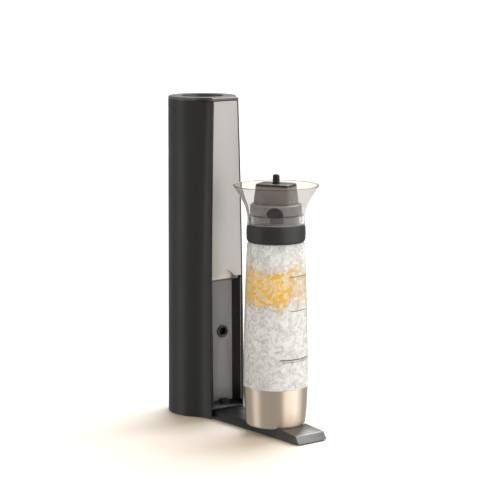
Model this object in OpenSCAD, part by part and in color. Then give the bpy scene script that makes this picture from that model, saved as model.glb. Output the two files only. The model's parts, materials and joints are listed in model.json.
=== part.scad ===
// Soda carbonator: a slim tower that holds a gas cylinder, with a low arm in front
// on which a clear bottle stands and is filled with gas from below.
// Millimetres, +Z up, -Y is the front (the side that the bottle stands on).
// The origin is the centre of the footprint, at the height of the worktop.

/* [Tower] */
// Height of the tower above the worktop
body_h = 420; // [410:1:460]
// Radius of the round back at the top
tube_r_top = 44.5; // [42:0.5:50]
// Radius of the round back at the base
tube_r_base = 46; // [44:0.5:52]
// Half the width of the narrow front at the top
front_half_top = 21.4; // [20:0.1:26]
// Half the width of the narrow front at the base
front_half_base = 27.8; // [25:0.1:32]
// Distance from the tube axis to the front face at the top
front_reach_top = 50.3; // [49:0.1:58]
// Distance from the tube axis to the front face at the base
front_reach_base = 54; // [52:0.1:62]
// Wall of the wrap-round shell
shell_wall = 2.4; // [1.8:0.1:2.8]
// Round-over of the shell's two front edges
front_edge_r = 1.5; // [0.5:0.1:2]
// Height of the dark ring that caps the tower
bezel_h = 3.5; // [3:0.5:6]
// Chamfer round the top edge
bezel_chamfer = 1.2; // [0.6:0.1:2]
// Gap between the shell and the worktop
shell_lift = 1; // [0.5:0.1:1.5]

/* [Finger well] */
// Radius of the round opening in the top
well_r = 27.7; // [26:0.1:29]
// Depth from the top down to the button
well_depth = 20; // [16:1:24]
// How far the button goes down
button_travel = 4; // [3:0.5:5]
// Gap round the button
button_gap = 0.4; // [0.3:0.1:0.6]

/* [Front] */
// Height of the seam between the bright cover and the niche panel
cover_bottom = 187; // [170:1:200]
// Half the width of the finger notch
notch_half = 16; // [12:0.5:17]
// Height of the finger notch
notch_h = 9; // [6:0.5:12]
// Sheet of the bright cover
cover_t = 1.8; // [1.2:0.1:2]
// Gap round the bright cover
cover_gap = 0.35; // [0.3:0.05:0.6]
// Depth of the niche behind the front face
niche_depth = 10; // [8:0.5:11]
// Half the width of the niche's flat back
niche_half = 15.5; // [13:0.5:18]
// Wall of the niche panel
niche_wall = 2; // [1.6:0.1:2.2]
// Height of the round port's centre
port_z = 113; // [90:1:140]
// Radius of the port's ring
port_ring_r = 8.3; // [7.6:0.1:9]
// Radius of the port's hole
port_hole_r = 4.6; // [3.5:0.1:5]

/* [Arm] */
// Distance from the tube axis to the tip of the arm
arm_reach = 228; // [218:1:250]
// Half the width of the arm
arm_half_w = 22.8; // [20:0.1:24]
// Height of the arm's flat top
arm_top = 11.5; // [11.5:0.5:14]
// Wall of the arm
arm_wall = 2.2; // [1.8:0.1:2.5]
// Length of the raised nose
nose_len = 44.5; // [36:0.5:50]
// Height of the nose at its back edge
nose_back_h = 14.3; // [13:0.1:17]
// Height of the nose at the top of its end face
nose_front_h = 11.1; // [9:0.1:12]
// How far the end face slopes back
nose_slope = 6; // [3:0.5:9]

/* [Bottle] */
// Distance from the bottle's axis to the tip of the arm
bottle_to_tip = 74; // [70:1:78]
// Largest radius of the clear vessel
vessel_r = 41.2; // [39:0.1:43]
// Radius of the vessel just under the grip band
shoulder_r = 36.6; // [36:0.1:38]
// Wall of the clear vessel
vessel_wall = 2.4; // [2:0.1:3]
// Radius of the neck under the grip band
neck_r = 34; // [33.5:0.1:34.5]
// Bore of the neck
neck_bore_r = 30.6; // [30:0.1:31]
// Height of the steel base cup above its own bottom
cup_h = 50; // [40:1:60]
// Sheet of the steel base cup
cup_wall = 0.9; // [0.8:0.1:1.2]
// Height of the grip band's lower edge
band_z = 246; // [240:1:250]
// Height of the grip band
band_h = 22.4; // [18:0.2:26]
// Height of the flared rim
rim_z = 317; // [310:1:325]
// Radius of the flared rim
rim_r = 54.2; // [52:0.2:57]
// Wall of the flared spout
spout_wall = 1.8; // [1.4:0.1:2.2]

/* [Gas] */
// Radius of the gas cylinder
cylinder_r = 30; // [28:0.5:30.5]
// Outer radius of the hoses
hose_r = 2.5; // [2:0.1:2.6]
// Running clearance round the valve pin and the lever's pin
running_gap = 0.05; // [0.03:0.01:0.1]

/* [Hidden] */

$fn = 96;
eps = 0.01;
assembly_gap = 0.3;
tower_y = (arm_reach - tube_r_base) / 2;
bottle_reach = arm_reach - bottle_to_tip;
bottle_y = tower_y - bottle_reach;
shell_top = body_h - bezel_h;
front_lean = atan((front_reach_base - front_reach_top) / body_h);
side_power = 2.2;
edge_straight = 1;
arc_steps = 10;
back_steps = 18;
shell_steps = 8;
cover_pin_r = 1.5;
cover_pin_y = -45.8;
cover_pin_z = shell_top - 4.5;
cover_top = shell_top - 1;
magnet_z = cover_bottom + 18;

// Heights inside the tower, counted down from the button
button_top = body_h - well_depth;
button_under = button_top - 3;
lever_z = button_top - 14;
lever_half_t = 2.5;
lever_pivot_y = 16;
lever_push_y = -14;
lever_pin_r = 2;
block_top = lever_z - 10;
block_bottom = block_top - 30;
valve_top = block_bottom + 14;
seal_t = 1.6;
pin_r = 1.95;
guide_bottom = button_top - 20;
guide_floor_t = 1.5;
guide_wall = 1.8;
spring_wire_r = 0.6;
bridge_bottom = block_bottom + 4;
bridge_top = bridge_bottom + 14;
barb_x = 14;
barb_y = -37.5;
barb_bottom = bridge_bottom - 10;
barb_r = 2.9;

// Heights at the foot of the tower
plate_bottom = 2;
plate_t = 4;
plate_top = plate_bottom + plate_t;
flange_t = 3;
flange_top = plate_top + flange_t;
door_r = cylinder_r + 3.6;
door_gap = 0.4;
door_lug_r = door_r + 2.4;
cylinder_foot = plate_top + 3;
cylinder_shoulder = block_bottom - 26;
valve_stem_r = 8;
spine_half = 10.5;
flange_half = 9.5;
spine_front = -38;
spine_back = -35.2;
arm_root_y = -46.2;
arm_bottom_z = 1.4;
hose_z = arm_top - 5.3;
dock_barb_y = 18 - bottle_reach;
port_barb_end = 11;
port_rear = 8.2;
sill_z = arm_top + 2.5;
sill_rise = 6.5;
lug_angles = [30, 150, 270];
lug_turn = 45;
nose_y = -arm_reach + nose_len;
docking_r = 11.8;

// Heights on the bottle
bottle_foot = arm_top + assembly_gap;
cup_top = bottle_foot + cup_h;
floor_z = bottle_foot + 8.2;
floor_t = 3;
neck_top = band_z + band_h + 11;
collar_bottom = band_z + band_h + assembly_gap;
tier_r = neck_bore_r + 2;
tier_top = neck_top + 14.6;
grip_top = rim_z + 2.5;
grip_turn = 28;
tab_angle = 228;
stopper_r = neck_bore_r - 1.4;
stopper_bottom = neck_top - 16;
release_r = 4.4;
release_top = grip_top + 11.5;
release_travel = 3;
vessel_steps = 12;
cup_gap = 0.3;
cup_foot_r = vessel_r - 3.2;
spout_steps = 14;
flare_z = rim_z - 28;
flare_soft = 11;
flare_slope = 0.66;

// The niche's flat back at the height of the port, and the port's rear barb
port_y = -reach_at(port_z) + niche_depth;
port_barb_y = port_y + 5.2;

// Routes of the two hoses inside the tower and the arm, from the tube axis
gas_route = [[barb_x, barb_y, barb_bottom], [barb_x, barb_y, barb_bottom - 8], [16.5, -37.5, 300],
             [19, -38, 260], [21.4, -38.5, 205], [21.4, -38.5, 120], [21.4, -38.5, 50], [21.2, -38.6, 28],
             [20.6, -39.2, 18], [19.8, -40.6, hose_z + 5.8], [19, -43, hose_z + 2.4],
             [17.6, -46.6, hose_z + 0.1],
             [14.8, -52, hose_z], [11, -60, hose_z], [7.5, -74, hose_z], [4.5, -92, hose_z],
             [2, dock_barb_y + 26, hose_z], [0.4, dock_barb_y + 12, hose_z], [0, dock_barb_y + 4, hose_z],
             [0, dock_barb_y, hose_z]];
vent_route = [[-barb_x, barb_y, barb_bottom], [-barb_x, barb_y, barb_bottom - 8], [-16.5, -37.5, 300],
              [-19, -38, 260], [-21.4, -38.5, 205], [-21.4, -38.5, 145], [-21, -38.4, 130],
              [-19.2, -38.1, 119], [-16.4, port_barb_y, 114.4], [-14, port_barb_y, port_z],
              [-port_barb_end, port_barb_y, port_z]];

function radius_at(z) = tube_r_base + (tube_r_top - tube_r_base) * z / body_h;
function half_at(z) = front_half_base - (front_half_base - front_half_top) * pow(max(z, 0) / body_h, side_power);
function reach_at(z) = front_reach_base + (front_reach_top - front_reach_base) * z / body_h;
function window_at(z) = half_at(z) - shell_wall - 0.2;
function mirrored(points) = [for (i = [len(points) - 1:-1:0]) [-points[i][0], points[i][1]]];
function arc_points(cx, cy, r, from, to, steps) =
    [for (i = [0:steps]) let (a = from + (to - from) * i / steps) [cx + r * cos(a), cy + r * sin(a)]];

// Half of the tower's outline: front corner, hollow waist, round back
function half_outline(z, inset) =
    let (r = radius_at(z), w = half_at(z), f = reach_at(z),
         reach = f - front_edge_r - edge_straight,
         waist = (reach * reach - r * r + w * w) / (2 * (r - w)),
         cx = w + waist, turn = atan2(-reach, cx),
         edge = max(front_edge_r - inset, 0.3))
    concat(arc_points(w - inset - edge, -(f - inset) + edge, edge, -90, 0, 3),
           arc_points(cx, -reach, waist + inset, 180, 180 + turn, arc_steps),
           [for (i = [1:back_steps - 1]) let (a = turn + (90 - turn) * i / back_steps)
                (r - inset) * [cos(a), sin(a)]]);

function outline(z, inset) =
    let (half = half_outline(z, inset), r = radius_at(z) - inset)
    concat(half, [[0, r]], mirrored(half));

// Solid through a list of [height, inset] levels of the tower's outline
module loft(levels) {
    n = len(outline(0, 0));
    points = [for (l = levels) for (p = outline(l[0], l[1])) [p[0], p[1], l[0]]];
    sides = [for (k = [0:len(levels) - 2]) for (i = [0:n - 1])
        let (a = k * n + i, b = k * n + (i + 1) % n)
        for (f = [[a, a + n, b], [b, a + n, b + n]]) f];
    bottom = [for (i = [0:n - 1]) i];
    top = [for (i = [n - 1:-1:0]) (len(levels) - 1) * n + i];
    polyhedron(points, concat([bottom], sides, [top]), convexity = 6);
}

function straight_levels(z0, z1, inset) =
    [for (i = [0:shell_steps]) [z0 + (z1 - z0) * i / shell_steps, inset]];

// Local X stays X, local Y runs up the leaning front face, local Z points out of it
module on_front_face() {
    translate([0, -front_reach_base, 0])
        rotate([90 - front_lean, 0, 0])
            children();
}

// Upright prism that leans with the front face; its plan is measured from that face
module along_front(z0, h) {
    translate([0, -front_reach_base, 0])
        rotate([-front_lean, 0, 0])
            translate([0, 0, z0])
                linear_extrude(h, convexity = 4)
                    children();
}

// Outline of the window between the shell's front edges
module window_shape(z0, z1, inset) {
    right = [for (i = [0:shell_steps]) let (z = z0 + (z1 - z0) * i / shell_steps) [window_at(z) - inset, z]];
    polygon(concat(right, mirrored(right)));
}

// Bell-shaped notch at the lower edge of the cover
module notch_shape() {
    polygon(concat([for (i = [0:24]) let (x = notch_half * (1 - i / 12))
                        [x, cover_bottom + notch_h * pow(cos(90 * x / notch_half), 2)]],
                   [[-notch_half, cover_bottom - 1], [notch_half, cover_bottom - 1]]));
}

// Tube swept along a route, with its two ends closed
module hose(route, r, sides = 10) {
    n = len(route);
    function unit(v) = v / norm(v);
    heads = [for (i = [0:n - 1]) unit(route[min(i + 1, n - 1)] - route[max(i - 1, 0)])];
    rings = [for (i = [0:n - 1])
        let (u = unit(cross([0.3, 1, 0.1], heads[i])), v = cross(heads[i], u))
        [for (k = [0:sides - 1]) let (a = 360 * k / sides) route[i] + r * (u * cos(a) + v * sin(a))]];
    points = [for (ring = rings) for (p = ring) p];
    skin = [for (i = [0:n - 2]) for (k = [0:sides - 1])
        let (a = i * sides + k, b = i * sides + (k + 1) % sides)
        for (f = [[a, b, a + sides], [b, b + sides, a + sides]]) f];
    first = [for (k = [sides - 1:-1:0]) k];
    last = [for (k = [0:sides - 1]) (n - 1) * sides + k];
    polyhedron(points, concat([first], skin, [last]), convexity = 8);
}

// Round coil spring standing on its lower end
module coil(mean_r, wire_r, z0, z1, turns, steps = 14) {
    count = turns * steps;
    route = [for (i = [0:count]) let (a = 360 * i / steps)
        [mean_r * cos(a), mean_r * sin(a), z0 + wire_r + (z1 - z0 - 2 * wire_r) * i / count]];
    coil_skin(route, wire_r, 6);
}

module coil_skin(route, r, sides) {
    n = len(route);
    rings = [for (i = [0:n - 1])
        let (out = [route[i][0], route[i][1], 0] / norm([route[i][0], route[i][1]]))
        [for (k = [0:sides - 1]) let (a = 360 * k / sides) route[i] + r * (out * cos(a) + [0, 0, sin(a)])]];
    points = [for (ring = rings) for (p = ring) p];
    skin = [for (i = [0:n - 2]) for (k = [0:sides - 1])
        let (a = i * sides + k, b = i * sides + (k + 1) % sides)
        for (f = [[a, a + sides, b], [b, a + sides, b + sides]]) f];
    first = [for (k = [0:sides - 1]) k];
    last = [for (k = [sides - 1:-1:0]) (n - 1) * sides + k];
    polyhedron(points, concat([first], skin, [last]), convexity = 10);
}

module ring(r_out, r_in, h) {
    difference() {
        cylinder(r = r_out, h = h);
        translate([0, 0, -1])
            cylinder(r = r_in, h = h + 2);
    }
}

module box(low, high) {
    translate(low)
        cube(high - low);
}

module in_tower() {
    translate([0, tower_y, 0])
        children();
}

module at_bottle() {
    translate([0, bottle_y, 0])
        children();
}

// Pan-head screw pointing up, its head's underside at the origin
module screw_up(length, r = 1.4) {
    cylinder(r = r, h = length);
    translate([0, 0, -1.2])
        difference() {
            cylinder(r = 2.6, h = 1.2);
            translate([0, 0, -eps])
                cylinder(r = 1.1, h = 0.7, $fn = 6);
        }
}

// ---------------------------------------------------------------- tower casing

module outer_shell() {
    color([0.13, 0.13, 0.13])
        in_tower()
            difference() {
                loft(straight_levels(shell_lift, shell_top, 0));
                loft(straight_levels(shell_lift - 1, shell_top + 1, shell_wall));
                on_front_face()
                    translate([0, 0, -shell_wall - 4])
                        linear_extrude(shell_wall + 8)
                            window_shape(-5, body_h + 5, 0);
            }
}

module top_bezel() {
    lug_low = shell_top - 7;
    color([0.2, 0.2, 0.2])
        in_tower()
            difference() {
                union() {
                    loft([[shell_top, 0], [body_h - bezel_chamfer, 0], [body_h, bezel_chamfer]]);
                    difference() {
                        loft([[shell_top - 8, shell_wall + 0.15], [shell_top + eps, shell_wall + 0.15]]);
                        loft([[shell_top - 9, shell_wall + 2], [shell_top + 1, shell_wall + 2]]);
                        box([-40, -60, shell_top - 10], [40, -40, shell_top]);
                    }
                    translate([0, 0, button_top - 2])
                        cylinder(r = well_r + guide_wall, h = well_depth - 1);
                    for (side = [-1, 1])
                        translate([side * 14.4, 0, 0])
                            box([-1.1, -47.4, lug_low], [1.1, -43.5, shell_top + eps]);
                }
                translate([0, 0, button_top - 3])
                    cylinder(r = well_r, h = well_depth + 4);
                cover_axis()
                    translate([0, 0, -20])
                        cylinder(r = cover_pin_r, h = 40, $fn = 48);
            }
}

module cover_axis() {
    translate([0, cover_pin_y, cover_pin_z])
        rotate([0, 90, 0])
            children();
}

module push_button() {
    r = well_r - button_gap;
    dish_r = 90;
    color([0.16, 0.16, 0.16])
        in_tower()
            difference() {
                union() {
                    translate([0, 0, button_under])
                        cylinder(r = r, h = button_top - button_under);
                    translate([0, 0, button_top - 12])
                        ring(r, r - 1.4, 12 - 1);
                    translate([0, lever_push_y, lever_z + lever_half_t + assembly_gap + 3])
                        cylinder(r = 3, h = button_under - lever_z - lever_half_t - 3, $fn = 48);
                    translate([0, lever_push_y, lever_z + lever_half_t + assembly_gap + 3])
                        sphere(r = 3, $fn = 48);
                }
                translate([0, 0, button_top - 1.6 + dish_r])
                    sphere(r = dish_r, $fn = 160);
            }
}

module button_guide() {
    color([0.3, 0.3, 0.3])
        in_tower() {
            translate([0, 0, guide_bottom])
                ring(well_r + guide_wall, well_r, button_top - 2.2 - guide_bottom);
            translate([0, 0, guide_bottom])
                ring(well_r + eps, well_r - 5.2, guide_floor_t);
        }
}

module button_spring() {
    color([0.75, 0.75, 0.78])
        in_tower()
            coil(well_r - 3.3, spring_wire_r, guide_bottom + guide_floor_t + 0.05, button_under - 0.05, 4);
}

// ---------------------------------------------------------------- gas valve

module rocker_lever() {
    color([0.62, 0.62, 0.65])
        in_tower()
            difference() {
                union() {
                    box([-6, lever_push_y - 4, lever_z - lever_half_t], [6, lever_pivot_y, lever_z + lever_half_t]);
                    translate([-6, lever_pivot_y, lever_z])
                        rotate([0, 90, 0])
                            cylinder(r = 4, h = 12);
                }
                translate([-7, lever_pivot_y, lever_z])
                    rotate([0, 90, 0])
                        cylinder(r = lever_pin_r + running_gap, h = 14);
            }
}

module lever_pin() {
    color([0.8, 0.8, 0.82])
        in_tower()
            translate([-9.6, lever_pivot_y, lever_z])
                rotate([0, 90, 0])
                    cylinder(r = lever_pin_r, h = 19.2);
}

module valve_block() {
    socket_r = 11.1;
    color([0.35, 0.36, 0.38])
        in_tower()
            difference() {
                union() {
                    translate([0, 0, block_bottom])
                        cylinder(r = 17, h = block_top - block_bottom);
                    box([-9.5, 0, block_top - 12], [9.5, 20, block_top]);
                    for (side = [-1, 1])
                        translate([side * 7.9, 0, 0])
                            box([-1.6, 12, block_top - 2], [1.6, 20, lever_z + 4]);
                    box([-9, -36, bridge_bottom], [9, -10, bridge_top]);
                    box([-18, -42, bridge_bottom], [18, -33, bridge_top]);
                }
                translate([0, 0, block_bottom - 1])
                    cylinder(r = socket_r, h = valve_top + seal_t + 0.2 - block_bottom + 1);
                translate([0, 0, block_bottom])
                    cylinder(r = pin_r + running_gap, h = 60);
                translate([-12, lever_pivot_y, lever_z])
                    rotate([0, 90, 0])
                        cylinder(r = lever_pin_r, h = 24);
                for (side = [-1, 1])
                    translate([side * 6, barb_y, bridge_bottom - 1])
                        cylinder(r = 1.4, h = 20, $fn = 32);
                for (side = [-1, 1])
                    translate([side * barb_x, barb_y, bridge_bottom - 1])
                        cylinder(r = 1.2, h = 16, $fn = 32);
                translate([0, 0, bridge_bottom + 7])
                    rotate([90, 0, 0])
                        cylinder(r = 1.2, h = 39, $fn = 32);
            }
}

module valve_pin() {
    tip = lever_z - lever_half_t - assembly_gap;
    color([0.8, 0.8, 0.82])
        in_tower() {
            translate([0, 0, valve_top - 4])
                cylinder(r = pin_r, h = tip - pin_r - valve_top + 4, $fn = 48);
            translate([0, 0, tip - pin_r])
                sphere(r = pin_r, $fn = 48);
        }
}

module relief_valve() {
    color([0.78, 0.6, 0.3])
        in_tower()
            translate([-barb_x, barb_y, bridge_top]) {
                cylinder(r = 3.8, h = 5, $fn = 6);
                translate([0, 0, 5])
                    cylinder(r = 2.8, h = 6, $fn = 48);
                translate([0, 0, 11])
                    cylinder(r = 3.4, h = 1.4, $fn = 48);
            }
}

module hose_barbs() {
    color([0.78, 0.6, 0.3])
        in_tower()
            for (side = [-1, 1])
                translate([side * barb_x, barb_y, barb_bottom])
                    difference() {
                        union() {
                            cylinder(r = barb_r, h = 10, $fn = 48);
                            translate([0, 0, 6.5])
                                cylinder(r = 3.4, h = 3.5, $fn = 6);
                        }
                        translate([0, 0, -1])
                            cylinder(r = 1.2, h = 12, $fn = 32);
                    }
}

module gas_hose() {
    color([0.1, 0.1, 0.1])
        in_tower()
            hose(gas_route, hose_r);
}

module vent_hose() {
    color([0.1, 0.1, 0.1])
        in_tower()
            hose(vent_route, hose_r);
}

module gas_cylinder() {
    heel_r = 9;
    neck = 12.5;
    wall = 4;
    neck_top_z = block_bottom - 8;
    shoulder_steps = 10;
    inner_heel = heel_r - wall;
    shoulder = [for (i = [0:shoulder_steps]) let (t = i / shoulder_steps)
        [neck + (cylinder_r - neck) * (0.5 + 0.5 * cos(180 * t)),
         cylinder_shoulder + (neck_top_z - 4 - cylinder_shoulder) * t]];
    color([0.72, 0.73, 0.75])
        in_tower()
            rotate_extrude(convexity = 6)
                polygon(concat([[0, cylinder_foot + 2.5], [12, cylinder_foot]],
                    arc_points(cylinder_r - heel_r, cylinder_foot + heel_r, heel_r, -90, 0, 8),
                    shoulder,
                    [[neck, neck_top_z], [valve_stem_r + 0.1, neck_top_z]],
                    [for (i = [shoulder_steps:-1:0]) [max(shoulder[i][0] - wall, valve_stem_r + 0.1), shoulder[i][1] - 3]],
                    arc_points(cylinder_r - heel_r, cylinder_foot + heel_r, inner_heel, 0, -90, 6),
                    [[12, cylinder_foot + wall], [0, cylinder_foot + wall + 2.5]]));
}

module cylinder_valve() {
    low = block_bottom - 8;
    color([0.8, 0.64, 0.32])
        in_tower()
            difference() {
                union() {
                    translate([0, 0, low])
                        cylinder(r = 13, h = 7, $fn = 6);
                    translate([0, 0, low + 7 - eps])
                        cylinder(r = 11, h = valve_top - low - 7);
                    translate([0, 0, low - 14])
                        cylinder(r = valve_stem_r, h = 14 + eps);
                }
                translate([0, 0, valve_top - 10])
                    cylinder(r = pin_r + running_gap, h = 11, $fn = 48);
            }
}

module cylinder_seal() {
    color([0.1, 0.1, 0.1])
        in_tower()
            translate([0, 0, valve_top + 0.05])
                ring(8, pin_r + 0.7, seal_t);
}

// ---------------------------------------------------------------- frame and front

module chassis_frame() {
    ring_out = cylinder_r + 3;
    ring_in = cylinder_r + 0.6;
    color([0.28, 0.29, 0.31])
        in_tower()
            difference() {
                union() {
                    box([-spine_half, spine_front, flange_top - 0.5], [spine_half, spine_back, bridge_bottom]);
                    box([-flange_half, -42, bridge_bottom - 4.5], [flange_half, -33, bridge_bottom]);
                    box([-spine_half, -46, plate_top], [9, -door_lug_r - 0.6, flange_top]);
                    for (z = [58, 298]) {
                        translate([0, 0, z])
                            ring(ring_out, ring_in, 10);
                        difference() {
                            box([-8, spine_back - eps, z], [8, -25, z + 10]);
                            translate([0, 0, z - 1])
                                cylinder(r = ring_in, h = 12);
                        }
                    }
                }
                box([-spine_half - 1, -45, port_z - 15], [port_ring_r - 1.3, -30, port_z + 15]);
                for (side = [-1, 1])
                    translate([side * 6, barb_y, bridge_bottom - 6])
                        cylinder(r = 1.4, h = 8, $fn = 32);
                for (side = [-1, 1])
                    translate([side * 6, -42.5, plate_top - 1])
                        cylinder(r = 1.4, h = 6, $fn = 32);
            }
}

module front_cover() {
    top = cover_top;
    ear_r = 2.4;
    color([0.76, 0.75, 0.73])
        in_tower()
            difference() {
                union() {
                    on_front_face()
                        translate([0, 0, -cover_t])
                            linear_extrude(cover_t, convexity = 4)
                                difference() {
                                    window_shape(cover_bottom, top, cover_gap);
                                    notch_shape();
                                }
                    on_front_face()
                        translate([0, 0, -cover_t - 3])
                            linear_extrude(3 + eps, convexity = 4)
                                difference() {
                                    window_shape(cover_bottom + 24, top - 9, cover_gap);
                                    window_shape(cover_bottom + 20, top - 6, cover_gap + 1.2);
                                }
                    for (side = [-1, 1])
                        translate([side * 11.2, 0, 0]) {
                            box([-1.8, -49.2, cover_pin_z - ear_r], [1.8, cover_pin_y, cover_pin_z + ear_r]);
                            translate([-1.8, cover_pin_y, cover_pin_z])
                                rotate([0, 90, 0])
                                    cylinder(r = ear_r, h = 3.6, $fn = 48);
                        }
                }
                cover_axis()
                    translate([0, 0, -20])
                        cylinder(r = cover_pin_r + running_gap, h = 40, $fn = 48);
            }
}

module cover_pin() {
    color([0.8, 0.8, 0.82])
        in_tower()
            cover_axis()
                translate([0, 0, -15.5])
                    cylinder(r = cover_pin_r, h = 31, $fn = 48);
}

module cover_magnets() {
    color([0.6, 0.6, 0.62])
        in_tower()
            for (side = [-1, 1])
                translate([side * 12, -46.6, magnet_z])
                    rotate([90, 0, 0])
                        cylinder(r = 3, h = 2.4, $fn = 48);
}

// Plan of the niche, measured from the front face: flat back, slanting wings
module niche_plan(back, half, wing_half, front) {
    polygon([[-wing_half, front], [-half - 1.2, back - 0.8], [-half, back], [half, back],
             [half + 1.2, back - 0.8], [wing_half, front]]);
}

// The seam under the notch falls away to the back; local Z is its upper side
module panel_seam() {
    translate([0, -front_reach_base, cover_bottom - 2])
        rotate([-20, 0, 0])
            children();
}

module finger_scoop() {
    back = niche_depth + niche_wall + 0.1;
    wall = 1.6;
    low = cover_bottom - 12;
    high = cover_bottom + 13;
    color([0.74, 0.73, 0.71])
        in_tower()
            difference() {
                union() {
                    along_front(low, high - low)
                        niche_plan(back + wall, niche_half + wall, niche_half + 5.5, 4);
                    along_front(high - eps, magnet_z + 5 - high)
                        translate([-18, 4])
                            square([36, back + wall - 4]);
                }
                along_front(low - 1, high - low + 1)
                    niche_plan(back, niche_half, niche_half + 4.2, 3);
                panel_seam()
                    translate([-40, -5, -39.8])
                        cube([80, 50, 40]);
                for (side = [-1, 1])
                    translate([side * 12, -46.6, magnet_z])
                        rotate([90, 0, 0])
                            cylinder(r = 3, h = 20, $fn = 48);
            }
}

module niche_panel() {
    wing = window_at(cover_bottom) - 0.4;
    low = sill_z + sill_rise + assembly_gap;
    color([0.3, 0.3, 0.3])
        in_tower()
            difference() {
                along_front(low, cover_bottom - 2 - low)
                    niche_plan(niche_depth + niche_wall, niche_half + niche_wall, wing, 0.6);
                along_front(low - 1, cover_bottom - low + 2)
                    niche_plan(niche_depth, niche_half, wing - 1.2, 0.5);
                panel_seam()
                    translate([-40, -5, 0])
                        cube([80, 45, 20]);
                translate([0, 0, port_z])
                    rotate([90, 0, 0])
                        cylinder(r = port_ring_r - 1.8, h = 80);
            }
}

module port_ring() {
    barb_depth = port_barb_y - port_y;
    color([0.09, 0.09, 0.09])
        in_tower()
            translate([0, port_y, port_z])
                rotate([90, 0, 0])
                    difference() {
                        union() {
                            translate([0, 0, 0.1])
                                cylinder(r = port_ring_r, h = 1);
                            translate([0, 0, -port_rear])
                                cylinder(r = port_ring_r - 2, h = port_rear + 0.5);
                            translate([-6, 0, -barb_depth])
                                rotate([0, -90, 0])
                                    cylinder(r = barb_r, h = port_barb_end - 6, $fn = 48);
                        }
                        translate([0, 0, -port_rear + 1.6])
                            cylinder(r = port_hole_r, h = port_rear + 2);
                        translate([0, 0, 0.1])
                            cylinder(r1 = port_hole_r, r2 = port_hole_r + 2.2, h = 1.1);
                        translate([-12, 0, -barb_depth])
                            rotate([0, 90, 0])
                                cylinder(r = 1.2, h = 12, $fn = 32);
                    }
}

// ---------------------------------------------------------------- foot of the tower

module base_plate() {
    color([0.1, 0.1, 0.1])
        in_tower()
            difference() {
                translate([0, 0, plate_bottom])
                    linear_extrude(plate_t)
                        polygon(outline(plate_top, shell_wall + 0.3));
                translate([0, 0, plate_bottom - 1])
                    cylinder(r = door_r + door_gap, h = plate_t + 2);
                for (a = lug_angles)
                    rotate(a + lug_turn)
                        translate([0, 0, plate_bottom - 1])
                            rotate_extrude(angle = 36, start = -18)
                                translate([door_r - 1, 0])
                                    square([door_lug_r + 0.4 - door_r + 1, plate_t + 2]);
                box([-arm_half_w - 0.4, -70, plate_bottom - 1], [arm_half_w + 0.4, -46, plate_top + 1]);
                box([15, -50, plate_bottom - 1], [arm_half_w + 0.4, -38.5, plate_top + 1]);
                for (side = [-1, 1])
                    translate([side * 6, -42.5, plate_bottom - 1])
                        cylinder(r = 1.5, h = plate_t + 2, $fn = 32);
            }
}

module cylinder_door() {
    lug_t = 1.8;
    lug_z = plate_top + assembly_gap;
    grip_half = 5;
    color([0.16, 0.16, 0.16])
        in_tower()
            difference() {
                union() {
                    translate([0, 0, plate_bottom])
                        cylinder(r = door_r, h = lug_z + lug_t - plate_bottom);
                    for (a = lug_angles)
                        rotate(a)
                            translate([0, 0, lug_z])
                                rotate_extrude(angle = 30, start = -15)
                                    translate([door_r - 1, 0])
                                        square([door_lug_r - door_r + 1, lug_t]);
                }
                translate([0, 0, plate_bottom + 4])
                    cylinder(r = cylinder_r + 1, h = 10);
                difference() {
                    translate([0, 0, plate_bottom - 1])
                        cylinder(r = 25, h = 3.4);
                    box([-grip_half, -30, plate_bottom - 2], [grip_half, 30, plate_bottom + 4]);
                }
            }
}

// Height of the sloping sill at a distance in front of the tube axis
function sill_at(reach) = sill_z + sill_rise * (front_reach_base - 0.6 - reach) / (niche_depth - 0.8);

module base_sill() {
    back = front_reach_base - niche_depth + 0.2;
    color([0.08, 0.08, 0.08])
        in_tower()
            translate([window_at(0) - 0.5, 0, 0])
                rotate([90, 0, -90])
                    linear_extrude(2 * (window_at(0) - 0.5))
                        polygon([[front_reach_base, arm_top + 0.1], [front_reach_base, sill_z - 0.6],
                                 [front_reach_base - 0.6, sill_z], [back, sill_z + sill_rise],
                                 [back, sill_z + sill_rise - 3], [front_reach_base - 2.4, sill_z - 1.6],
                                 [front_reach_base - 2.4, arm_top + 0.1]]);
}

module tray_catch() {
    back = front_reach_base - niche_depth + 0.6;
    front = back + 5;
    color([0.06, 0.06, 0.06])
        in_tower()
            translate([-5.5, 0, 0])
                rotate([90, 0, 90])
                    linear_extrude(11)
                        polygon([[-back, sill_at(back) + 0.03], [-back, sill_at(back) + 3],
                                 [-back - 2.2, sill_at(back) + 3.4], [-front, sill_at(front) + 1.6],
                                 [-front, sill_at(front) + 0.03]]);
}

// ---------------------------------------------------------------- arm

module tray_arm() {
    color([0.14, 0.14, 0.14])
        in_tower()
            difference() {
                union() {
                    box([-arm_half_w, nose_y + 0.05, arm_bottom_z], [arm_half_w, arm_root_y, arm_top]);
                    box([-16, arm_root_y - 1, flange_top + 0.2], [9.5, spine_front - 0.4, arm_top]);
                }
                box([-arm_half_w + arm_wall, nose_y - 1, arm_bottom_z - 1],
                    [arm_half_w - arm_wall, arm_root_y + 5, arm_top - arm_wall]);
                translate([0, -bottle_reach, arm_bottom_z])
                    cylinder(r = docking_r + 0.15, h = 20);
                for (side = [-1, 1])
                    translate([side * 6, -42.5, arm_top - 6])
                        cylinder(r = 1.4, h = 5, $fn = 32);
            }
}

module arm_bottom() {
    inset = arm_wall + 0.2;
    color([0.1, 0.1, 0.1])
        in_tower()
            box([-arm_half_w + inset, -arm_reach + nose_slope + 4.2, arm_bottom_z],
                [arm_half_w - inset, arm_root_y - 2, arm_bottom_z + 1.6]);
}

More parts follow.
